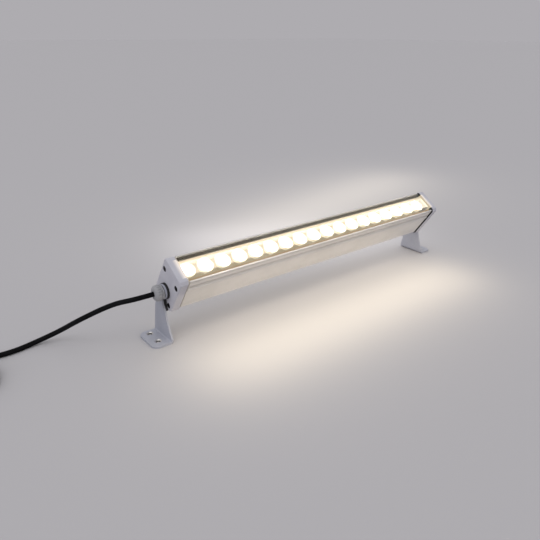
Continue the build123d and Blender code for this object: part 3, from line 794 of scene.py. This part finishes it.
@dataclass(frozen=True)
class GlazingRubber(Finish):
    """Black silicone strip under the edge of the window, which the lenses' light turns brown.

    Attributes:
        glow: Colour of the light that it catches.
        near: Strength on the strip of the lit side.
        far: Strength on the strip at the back.
        half_mm: Distance of the strips from the lamp's middle plane.
    """

    glow: str = "#FFCF92"
    near: float = 0.30
    far: float = 0.04
    half_mm: float = 14.0

    def light(self, surface: Surface) -> None:
        """Light each strip by the side that it is on.

        Args:
            surface: The material in the making.
        """
        _, across, _ = surface.lamp_place()
        side = add_node(
            surface.tree,
            "ShaderNodeMapRange",
            {
                "Value": across, "From Min": -self.half_mm * MM, "From Max": self.half_mm * MM,
                "To Min": self.near, "To Max": self.far,
            },
        )
        surface.glow(self.glow, side.outputs["Result"])


@dataclass(frozen=True)
class LeadSheaths(Finish):
    """Silicone leads, each core in its own plain colour, told apart by its place across the lamp.

    Attributes:
        left: Colour of the core towards the lit side.
        right: Colour of the core towards the back.
        split_mm: Half the width of the middle core's place.
    """

    left: str = "#2F5D9E"
    right: str = "#7A4A2A"
    split_mm: float = 0.9

    def colour(self, surface: Surface) -> None:
        """Colour each core by its place across the lamp.

        Args:
            surface: The material in the making.
        """
        _, across, _ = surface.lamp_place()
        reach = 3 * self.split_mm * MM          # three equal places, one for each core
        side = add_node(
            surface.tree, "ShaderNodeMapRange", {"Value": across, "From Min": -reach, "From Max": reach}
        )
        ramp = add_node(surface.tree, "ShaderNodeValToRGB", {"Fac": side.outputs["Result"]})
        ramp.color_ramp.interpolation = "CONSTANT"
        ramp.color_ramp.elements.new(1 / 3)
        for i, tone in enumerate((self.left, self.tone, self.right)):
            ramp.color_ramp.elements[i].position = i / 3
            ramp.color_ramp.elements[i].color = linear(tone)
        surface.feed("Base Color", ramp.outputs["Color"])


# Each is named for the real material and how it was made, and its comment says what that gives the eye.
EXTRUSION = AnodisedExtrusion(
    "anodised_aluminium_6063", "#E4E1DF", "#DCD9D6", 60.0, 0.9, 0.02, (0.30, 0.44), 0.55, (60.0, 1.0, 1.0)
)                                       # satin sheen, drawn lines 0.9 mm apart (really 0.2, too fine to show)
CAP_COAT = CapCoat(
    "powder_coated_die_casting", "#B8B7C0", "#B1B0BA", 18.0, 1.1, 0.05, (0.42, 0.58)
)                                       # pale grey polyester powder: soft orange peel, low sheen
BRACKET_COAT = BracketCoat(
    "powder_coated_steel_sheet", "#9FA1AD", "#989AA6", 22.0, 1.0, 0.05, (0.36, 0.52)
)                                       # the same powder on rolled steel, a shade darker
RUBBER = Finish(
    "epdm_rubber", "#1B1A1B", "#242324", 6.0, 0.8, 0.03, (0.62, 0.80)
)                                       # black, dull, a little chalky
BLACK_GASKET = EndRubber(
    "black_silicone_gasket", "#161516", "#1E1D1E", 6.0, 0.8, 0.02, (0.6, 0.75)
)                                       # black silicone gasket at the right end, beside the shade painted on the cap
PALE_PAINTED_GASKET = EndRubber(
    "silicone_gasket_painted_pale", "#A3A1A3", "#9A989B", 6.0, 0.8, 0.02, (0.6, 0.75), shade_fill_glow=0.2
)                                       # the left end's gasket, painted pale and given a faint painted glow so that the shade of its gap doesn't show
STRIP = GlazingRubber(
    "silicone_glazing_strip", "#1E1C1A", "#262320", 6.0, 0.8, 0.02, (0.55, 0.7)
)                                       # black, smooth, brown in the light beside it
NYLON = Finish(
    "moulded_nylon_66", "#96969A", "#8E8E92", 9.0, 0.7, 0.03, (0.38, 0.52)
)                                       # light grey, waxy, spark-eroded mould grain
SHEATH = Finish(
    "rubber_cable_sheath", "#070709", "#0E0E11", 14.0, 0.9, 0.02, (0.42, 0.55), shine=0.09
)                                       # black, with a long soft highlight
PLUG_PLASTIC = Finish(
    "glass_filled_nylon", "#1C1D1F", "#26272A", 5.0, 0.8, 0.04, (0.44, 0.60)
)                                       # black, mottled by its glass fibres
STEEL = Finish(
    "stainless_steel_a2", "#C9C8C6", "#BDBBB8", 5.0, 0.5, 0.01, (0.22, 0.36), 1.0
)                                       # bright, faintly brushed by tumbling
BLACK_STEEL = Finish(
    "blackened_steel", "#4B4A4C", "#3E3D40", 4.0, 0.5, 0.01, (0.18, 0.30), 1.0
)                                       # dark heads with a small glint
BRASS = Finish(
    "nickelled_brass", "#CFC6AE", "#C2B694", 4.0, 0.5, 0.01, (0.16, 0.26), 1.0
)                                       # pale yellow-white metal
SOLDER_MASK = LitFinish(
    "black_solder_mask", "#241F18", "#2C261D", 7.0, 0.6, 0.02, (0.35, 0.5), most=0.35, least=0.30
)                                       # black lacquer on the board, lit brown by the lenses
HOLDER = LitFinish(
    "dark_polycarbonate", "#3A3122", "#332B1F", 5.0, 0.7, 0.02, (0.35, 0.5), most=0.30, least=0.08
)                                       # dark lens holder, lit by its own lens
PHOSPHOR = LitFinish(
    "phosphor_emitter", "#F2D27A", "#EBC768", 2.0, 0.4, 0.01, (0.3, 0.4), most=6.0, least=2.0
)                                       # yellow phosphor, glowing warm white
ACRYLIC = LensAcrylic(
    "moulded_acrylic_lens", "#F4F1E8", "#EEEADF", 9.0, 1.6, 0.25, (0.08, 0.12)
)                                       # clear plastic full of warm light
GLASS = WindowGlass(
    "tempered_glass", "#E8EDEA", "#DDE3E0", 25.0, 3.0, 0.002, (0.02, 0.05)
)                                       # a clean pane that mirrors the studio faintly
TERMINAL = Finish(
    "moulded_pbt", "#E9E7DF", "#DEDCD3", 4.0, 0.5, 0.02, (0.4, 0.5)
)                                       # off-white terminal block
DRIVER_CASE = Finish(
    "potted_aluminium_case", "#8C8E91", "#85878A", 12.0, 0.8, 0.03, (0.4, 0.55), 1.0
)                                       # dull drawn case of the driver
LEADS = LeadSheaths(
    "silicone_leads", "#6B8E3A", "#6B8E3A", 5.0, 0.5, 0.01, (0.4, 0.5)
)                                       # one coloured core beside the other


def dress(node: str, finish: Finish) -> bpy.types.Object:
    """Give a CAD node its finish.

    Args:
        node: The node's name.
        finish: What its surface is made of.

    Returns:
        The node's object.
    """
    piece = frame["nodes"][node]
    piece.data.materials.clear()
    piece.data.materials.append(finish.material())
    return piece


# ------------------------------------------------------------------ sub-assemblies
@dataclass
class PhotoCamera:
    """The camera of the photograph, found by fitting the frame's corners to it.

    Its view is then a quarter of a percent narrower, so that the coil of put-away cable stays out of it.

    Attributes:
        place_mm: Where it stands.
        heading: Degrees from +Y towards +X.
        dip: Degrees that it looks down.
        roll: Degrees that it is turned clockwise.
        lens_mm: Focal length on a 36 mm sensor.
    """

    place_mm: Point = (-530.165, -562.190, 369.990)
    heading: float = 38.21
    dip: float = 23.747
    roll: float = -0.271
    lens_mm: float = 35.88

    def build(self) -> list[bpy.types.Object]:
        """Make the camera, make it the scene's, and return no piece of the object."""
        data = bpy.data.cameras.new("photo_camera")
        data.lens = self.lens_mm
        data.clip_start = 0.01
        camera = bpy.data.objects.new("photo_camera", data)
        bpy.context.scene.collection.objects.link(camera)
        camera.matrix_world = (
            Matrix.Translation(Vector(self.place_mm) * MM)
            @ Matrix.Rotation(math.radians(-self.heading), 4, "Z")
            @ Matrix.Rotation(math.radians(90 - self.dip), 4, "X")
            @ Matrix.Rotation(math.radians(-self.roll), 4, "Z")
        )
        bpy.context.scene.camera = camera
        return []


@dataclass
class SupplyCable:
    """The black supply cable: out of the gland, down to the floor, past the view and into a neat coil.

    Attributes:
        diameter_mm: Its thickness.
        length_mm: Its whole length, from inside the gland to inside the plug. Not used.
        exit_mm: Where it leaves the gland's nut, along the lamp. Not used.
        route_mm: Its way from inside the gland to the coil.
        coil_start_mm: Where the coil begins.
        coil_step_mm: From turn to turn, and from layer to layer.
        coil_mean_mm: Mean radius of the turns.
        half_turns: Half turns in the lower layer. The upper one has one less.
        per_half: The spline's points in each half turn.
        tail_mm: Its way from the coil into the plug, from the coil's last point.
    """

    diameter_mm: float = 6.5
    length_mm: float = 1280.0
    exit_mm: float = -270.2
    route_mm: tuple[Point, ...] = (
        (-258.0, 0.0, 69.0), (-294.0, 0.0, 69.0), (-315.4, 21.5, 61.0), (-352.1, 47.9, 38.6),
        (-368.1, 79.5, 14.6), (-396.1, 90.5, 3.3), (-425.9, 83.6, 3.3), (-457.5, 87.1, 3.3),
        (-488.5, 87.1, 3.3),
    )
    coil_start_mm: Point = (-495.0, 87.1, 3.3)
    coil_step_mm: float = 7.3
    coil_mean_mm: float = 35.75
    half_turns: int = 4
    per_half: int = 8
    tail_mm: tuple[Point, ...] = (
        (-6.5, 0.0, 0.0), (-50.5, 0.0, 0.0), (-94.5, -4.0, -2.1), (-138.5, -4.0, -2.1)
    )

    def half_turn(self, start: Vector, side: int, radius: float, rise: float) -> tuple[list[Vector], Vector]:
        """Work out the spline's points on one half turn.

        Args:
            start: Where the half turn begins, mm.
            side: 1 if it bends round the far side of the coil, -1 if round the near one.
            radius: Its radius, mm.
            rise: How far it climbs, mm.

        Returns:
            Its points and where it ends, in mm.
        """
        reach = radius / math.cos(math.pi / (2 * self.per_half))    # a spline cuts inside its points
        middle = start - Vector((0.0, side * radius, 0.0))
        points = []
        for i in range(self.per_half):
            turn = math.pi * (i + 0.5) / self.per_half
            points.append(middle + Vector((
                -side * reach * math.sin(turn), side * reach * math.cos(turn), rise * (1 - math.cos(turn)) / 2
            )))
        return points, start + Vector((0.0, -2 * side * radius, rise))

    def coil(self) -> tuple[list[Vector], Vector]:
        """Wind the lower layer inwards, climb, and wind the upper layer outwards.

        Returns:
            The spline's points in the coil and where it ends, in mm.
        """
        largest = self.coil_mean_mm + (self.half_turns - 1) * self.coil_step_mm / 4
        turns = [(largest - k * self.coil_step_mm / 2, 0.0) for k in range(self.half_turns)]
        climb = (largest - self.half_turns * self.coil_step_mm / 2, self.coil_step_mm)
        here, side, points = Vector(self.coil_start_mm), 1, []
        for radius, rise in (*turns, climb, *turns[:0:-1]):
            more, here = self.half_turn(here, side, radius, rise)
            points += more
            side = -side
        return points, here

    def line(self) -> list[Vector]:
        """Return every point of the cable's spline, in metres."""
        turns, end = self.coil()
        tail = [end + Vector(point) for point in self.tail_mm]
        shift = Vector((0.0, AXIS.y, 0.0))
        return [Vector(point) * MM + shift for point in (*self.route_mm, *turns, *tail)]

    def build(self) -> list[bpy.types.Object]:
        """Make the cable and dress the plug, and return them."""
        points = self.line()
        data = bpy.data.curves.new("supply_cable", "CURVE")
        data.dimensions = "3D"
        data.resolution_u = 6
        data.bevel_depth = self.diameter_mm * MM / 2
        data.bevel_resolution = 6
        data.use_fill_caps = True
        spline = data.splines.new("NURBS")
        spline.points.add(len(points) - 1)
        for control, place in zip(spline.points, points):
            control.co = (*place, 1.0)
        spline.order_u = 3
        spline.use_endpoint_u = True
        data.materials.append(SHEATH.material())
        cable = bpy.data.objects.new("supply_cable", data)
        bpy.context.scene.collection.objects.link(cable)
        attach(cable, "mount_left")
        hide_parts("cord_lead", "cord_coil", "cord_tail")
        plug = [dress("plug_body", PLUG_PLASTIC), dress("plug_ring", PLUG_PLASTIC), dress("plug_pins", BRASS)]
        return [cable, *plug]


@dataclass
class LightEngine:
    """The board with its emitters, lens holders and lenses.

    Attributes:
        row: Where the lenses stand.
        front_mm: Crown of a lens's front, out from the turning axis.
        crown_mm: How far the front is domed.
        dome_shares: Rings of the front, as shares of its radius.
        rim_mm: Depths below the front's edge at which the rim is straight, turns in and meets the bowl.
        inset_mm: How far the bowl's top is set in from the rim.
        bowl_shares: Rings of the bowl, as shares of its depth.
        base_mm: Underside of the lens, out from the turning axis.
        foot_mm: Radius of the underside.
        recess_mm: Outline of the emitter's recess, as radius and height over the underside.
        around: Corners round a lens.
    """

    row: LensRow = LensRow()
    front_mm: float = 37.2
    crown_mm: float = 0.9
    dome_shares: tuple[float, ...] = (0.0, 0.2, 0.4, 0.6, 0.78, 0.9)
    rim_mm: Point = (0.25, 0.7, 0.9)
    inset_mm: float = 0.6
    bowl_shares: tuple[float, ...] = (0.8, 0.6, 0.4, 0.2, 0.08, 0.0)
    base_mm: float = 25.2
    foot_mm: float = 5.2
    recess_mm: tuple[Span, ...] = ((2.8, 0.0), (2.4, 3.0), (0.0, 3.6))
    around: int = 48

    def profile(self) -> list[Span]:
        """Draw a lens's outline, from the middle of its front to that of its foot.

        Returns:
            The outline's points, as radius and distance out from the turning axis, mm.
        """
        outer, edge = self.row.radius_mm, self.front_mm - self.crown_mm
        straight, turned, met = self.rim_mm
        top, depth = outer - self.inset_mm, edge - met - self.base_mm
        dome = [(outer * share, self.front_mm - self.crown_mm * share ** 2) for share in self.dome_shares]
        rim = [(outer - straight, edge), (outer, edge - straight), (outer, edge - turned), (top, edge - met)]
        bowl = [
            (self.foot_mm + (top - self.foot_mm) * math.sqrt(share), self.base_mm + depth * share)
            for share in self.bowl_shares
        ]
        recess = [(radius, self.base_mm + height) for radius, height in self.recess_mm]
        return dome + rim + bowl + recess

    def lenses(self) -> bpy.types.Object:
        """Turn the lenses' meshes and return them as one object."""
        mesh = bpy.data.meshes.new("lenses")
        work = bmesh.new()
        outline = self.profile()
        for along in self.row.stations():
            rings = []
            for radius, out in outline:
                if radius == 0.0:
                    rings.append([work.verts.new(in_lamp(along, 0.0, out))])
                    continue
                rings.append([
                    work.verts.new(in_lamp(along + radius * math.cos(a), radius * math.sin(a), out))
                    for a in (2 * math.pi * k / self.around for k in range(self.around))
                ])
            for upper, lower in zip(rings, rings[1:]):
                for k in range(self.around):
                    n = (k + 1) % self.around
                    if len(upper) == 1:
                        work.faces.new((upper[0], lower[k], lower[n]))
                    elif len(lower) == 1:
                        work.faces.new((upper[n], upper[k], lower[0]))
                    else:
                        work.faces.new((upper[n], upper[k], lower[k], lower[n]))
        bmesh.ops.recalc_face_normals(work, faces=work.faces)
        for face in work.faces:
            face.smooth = True
        work.to_mesh(mesh)
        work.free()
        mesh.materials.append(ACRYLIC.material())
        piece = bpy.data.objects.new("lenses", mesh)
        bpy.context.scene.collection.objects.link(piece)
        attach(piece, "lamp")
        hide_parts("optics")
        return piece

    def build(self) -> list[bpy.types.Object]:
        """Make the lenses, dress what carries them, and return all of it."""
        return [
            self.lenses(),
            dress("optic_holders", HOLDER),
            dress("led_chips", PHOSPHOR),
            dress("led_board", SOLDER_MASK),
            dress("board_screws", STEEL),
            dress("terminal_block", TERMINAL),
        ]


@dataclass
class DressedAssembly:
    """A sub-assembly whose shapes all come from the frame, so that it only gets its finishes.

    Attributes:
        finishes: The finish of each of its nodes.
    """

    finishes: dict[str, Finish] = field(default_factory=dict)

    def build(self) -> list[bpy.types.Object]:
        """Dress the nodes and return them."""
        return [dress(node, finish) for node, finish in self.finishes.items()]


@dataclass
class LampBody(DressedAssembly):
    """The extrusion with its window, end caps and driver."""

    finishes: dict[str, Finish] = field(default_factory=lambda: {
        "housing": EXTRUSION,
        "window_glass": GLASS,
        "glazing_strips": STRIP,
        "cap_left": CAP_COAT,
        "cap_right": CAP_COAT,
        "gasket_left": PALE_PAINTED_GASKET,
        "gasket_right": BLACK_GASKET,
        "cap_screws_left": BLACK_STEEL,
        "cap_screws_right": BLACK_STEEL,
        "driver": DRIVER_CASE,
        "driver_screws": STEEL,
        "supply_leads": LEADS,
        "led_leads": LEADS,
    })


@dataclass
class TiltMounts(DressedAssembly):
    """The two brackets with their pads, and the gland and the bolt that the lamp turns on."""

    finishes: dict[str, Finish] = field(default_factory=lambda: {
        "bracket_left": BRACKET_COAT,
        "bracket_right": BRACKET_COAT,
        "pivot_pad_left": RUBBER,
        "pivot_pad_right": RUBBER,
        "gland_body": NYLON,
        "gland_nut": NYLON,
        "gland_locknut": NYLON,
        "gland_washer": RUBBER,
        "gland_seal": RUBBER,
        "pivot_screw": STEEL,
        "pivot_washer": STEEL,
        "pivot_nut": STEEL,
    })


class LampKind(Enum):
    """What a studio lamp is, by Blender's name for it."""

    PANEL = "AREA"
    SUN = "SUN"


@dataclass(frozen=True)
class StudioLamp:
    """One lamp of the studio.

    Attributes:
        name: Its name.
        kind: What it is.
        place_mm: Where it hangs, or for a sun, the side that it shines from.
        power: A panel's watts, or a sun's strength.
        tone: Its colour.
        aim_mm: The point that it faces.
        size_mm: Width and height of a panel.
        turn: Degrees that a panel facing down is turned from +X towards +Y.
        spread: Degrees that a panel's light opens.
        softness: Degrees that a sun seems wide.
        mirrored: Whether it shows in glossy surfaces.
    """

    name: str
    kind: LampKind
    place_mm: Point
    power: float
    tone: str
    aim_mm: Point = (0.0, 0.0, 0.0)
    size_mm: Span = (100.0, 100.0)
    turn: float = 0.0
    spread: float = 180.0
    softness: float = 40.0
    mirrored: bool = True

    def hang(self) -> None:
        """Hang the lamp, out of the camera's sight."""
        data = bpy.data.lights.new(self.name, self.kind.value)
        data.energy = self.power
        data.color = linear(self.tone)[:3]
        if self.kind is LampKind.PANEL:
            data.shape = "RECTANGLE"
            data.size, data.size_y = (side * MM for side in self.size_mm)
            data.spread = math.radians(self.spread)
        else:
            data.angle = math.radians(self.softness)
        light = bpy.data.objects.new(self.name, data)
        bpy.context.scene.collection.objects.link(light)
        place = Vector(self.place_mm)
        facing = (Vector(self.aim_mm) - place).to_track_quat("-Z", "Y")
        light.matrix_world = (
            Matrix.Translation(place * MM) @ Matrix.Rotation(math.radians(self.turn), 4, "Z")
            @ facing.to_matrix().to_4x4()
        )
        light.visible_camera = False
        light.visible_glossy = self.mirrored


@dataclass
class Studio:
    """Plain pale floor and soft light, with the light that the lamp throws on the floor around it.

    Attributes:
        floor_tone: Colour of the floor and of what is beyond it.
        floor_rough: Roughness of the floor.
        floor_shine: Specular level of the floor.
        floor_size: Width of the floor, m.
        world_strength: Even light from all round.
        lamps: Two suns, the lit floor in front, the streak and the glow on the floor behind, and the
            light over the window's lit edge.
    """

    floor_tone: str = "#AEACB0"
    floor_rough: float = 0.95
    floor_shine: float = 0.1
    floor_size: float = 60.0
    world_strength: float = 0.84
    lamps: tuple[StudioLamp, ...] = (
        StudioLamp("key", LampKind.SUN, (-600.0, -300.0, 1200.0), 0.475, "#FFFFFF"),
        StudioLamp("fill", LampKind.SUN, (-1000.0, -150.0, 160.0), 0.22, "#F6F5FF"),
        StudioLamp(
            "pool", LampKind.PANEL, (-10.0, -93.0, 75.0), 0.349, "#FFF0CE",
            aim_mm=(-10.0, -93.0, 0.0), size_mm=(507.0, 96.0), mirrored=False,
        ),
        StudioLamp(
            "halo", LampKind.PANEL, (346.3, 324.8, 161.4), 0.509, "#FFF5DB",
            aim_mm=(346.3, 324.8, 0.0), size_mm=(729.0, 4.0), turn=11.5, mirrored=False,
        ),
        StudioLamp(
            "behind", LampKind.PANEL, (119.3, 179.4, 64.4), 0.159, "#FFFDFB",
            aim_mm=(119.3, 179.4, 0.0), size_mm=(459.7, 208.4), turn=-22.9, mirrored=False,
        ),
        StudioLamp(
            "spill", LampKind.PANEL, (0.0, -58.0, 150.0), 0.06, "#FFF3E2",
            aim_mm=(0.0, -14.0, 92.0), size_mm=(440.0, 14.0), spread=64.0,
        ),
    )

    def floor(self) -> None:
        """Lay the floor."""
        half = self.floor_size / 2
        corners = [(x * half, y * half, 0.0) for x, y in ((-1, -1), (1, -1), (1, 1), (-1, 1))]
        mesh = bpy.data.meshes.new("studio_floor")
        mesh.from_pydata(corners, [], [(0, 1, 2, 3)])
        material = bpy.data.materials.new("studio_paper")
        material.use_nodes = True
        shader = material.node_tree.nodes["Principled BSDF"]
        shader.inputs["Base Color"].default_value = linear(self.floor_tone)
        shader.inputs["Roughness"].default_value = self.floor_rough
        shader.inputs["Specular IOR Level"].default_value = self.floor_shine
        mesh.materials.append(material)
        floor = bpy.data.objects.new("studio_floor", mesh)
        bpy.context.scene.collection.objects.link(floor)

    def surroundings(self) -> None:
        """Light the scene evenly, and show the camera, metal and glass the floor's colour beyond it."""
        world = bpy.data.worlds.new("studio")
        bpy.context.scene.world = world
        world.use_nodes = True
        tree = world.node_tree
        tree.nodes.clear()
        path = add_node(tree, "ShaderNodeLightPath").outputs
        shown = path["Is Camera Ray"]
        for ray in ("Is Glossy Ray", "Is Transmission Ray"):
            shown = add_node(
                tree, "ShaderNodeMath", {0: shown, 1: path[ray]}, operation="MAXIMUM"
            ).outputs["Value"]
        even, beyond = (
            add_node(
                tree, "ShaderNodeBackground", {"Color": linear(tone), "Strength": strength}
            ).outputs["Background"]
            for tone, strength in (("#FFFFFF", self.world_strength), (self.floor_tone, 1.0))
        )
        both = add_node(tree, "ShaderNodeMixShader", {"Fac": shown, 1: even, 2: beyond})
        add_node(tree, "ShaderNodeOutputWorld", {"Surface": both.outputs["Shader"]})

    def build(self) -> list[bpy.types.Object]:
        """Set up the studio and return no piece of the object."""
        bpy.context.scene.view_settings.view_transform = "Standard"
        self.floor()
        self.surroundings()
        for lamp in self.lamps:
            lamp.hang()
        return []


def main() -> None:
    """Build the scene and report each piece."""
    logging.basicConfig(level=logging.INFO, format="%(message)s")
    for section in (PhotoCamera(), SupplyCable(), LampBody(), LightEngine(), TiltMounts(), Studio()):
        for piece in section.build():
            LOG.info("%s: %s", type(section).__name__, piece.name)
    bpy.context.view_layer.update()


if __name__ == "__main__":
    main()
